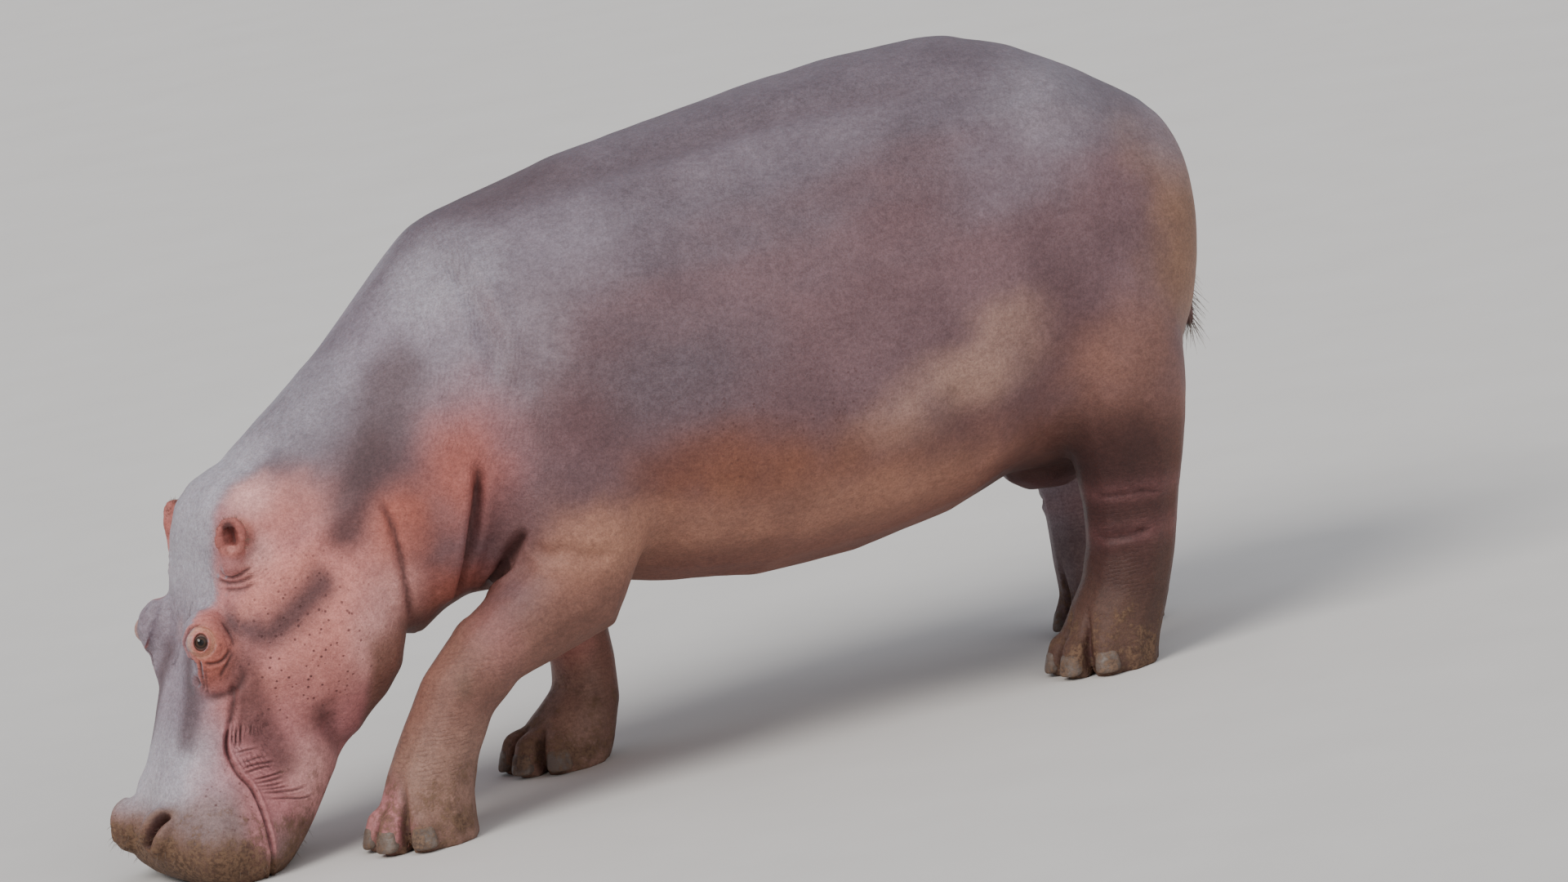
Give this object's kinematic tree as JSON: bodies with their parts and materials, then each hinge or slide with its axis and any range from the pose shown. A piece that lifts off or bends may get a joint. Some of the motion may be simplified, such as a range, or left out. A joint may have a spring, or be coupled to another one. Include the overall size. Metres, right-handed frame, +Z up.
{
  "type": "hippopotamus",
  "caption": "Life-size adult hippopotamus, a still model that walks with its head lowered and its lips on the floor.",
  "frame": {"origin": "on the floor, under the middle of the whole animal's box", "axes": "+Z up, the head points along -X and the tail along +X, the animal's left side faces -Y"},
  "size_m": [2.6732, 0.919, 1.4227],
  "materials": {
    "hide": "bare slate-purple skin, brown and pink below, fine creases, soft sheen",
    "face_hide": "bare salmon-pink cheek skin, slate-grey down the face, brown mud on the muzzle",
    "foot_hide": "dry, muddy grey-brown skin",
    "nail": "worn horn, grey-tan",
    "eye": "wet, dark brown"
  },
  "bodies": {
    "root": {"trunk": "hide", "neck": "hide", "tail": "hide", "head": "face_hide", "jaw": "face_hide", "ear_left": "face_hide", "ear_right": "face_hide", "foreleg_left": "hide", "forefoot_left": "foot_hide", "forenail_left_1": "nail", "forenail_left_2": "nail", "forenail_left_3": "nail", "forenail_left_4": "nail", "foreleg_right": "hide", "forefoot_right": "foot_hide", "forenail_right_1": "nail", "forenail_right_2": "nail", "forenail_right_3": "nail", "forenail_right_4": "nail", "hindleg_left": "hide", "hindfoot_left": "foot_hide", "hindnail_left_1": "nail", "hindnail_left_2": "nail", "hindnail_left_3": "nail", "hindnail_left_4": "nail", "hindleg_right": "hide", "hindfoot_right": "foot_hide", "hindnail_right_1": "nail", "hindnail_right_2": "nail", "hindnail_right_3": "nail", "hindnail_right_4": "nail", "eye_left": "eye", "eye_right": "eye"}
  },
  "joints": []
}
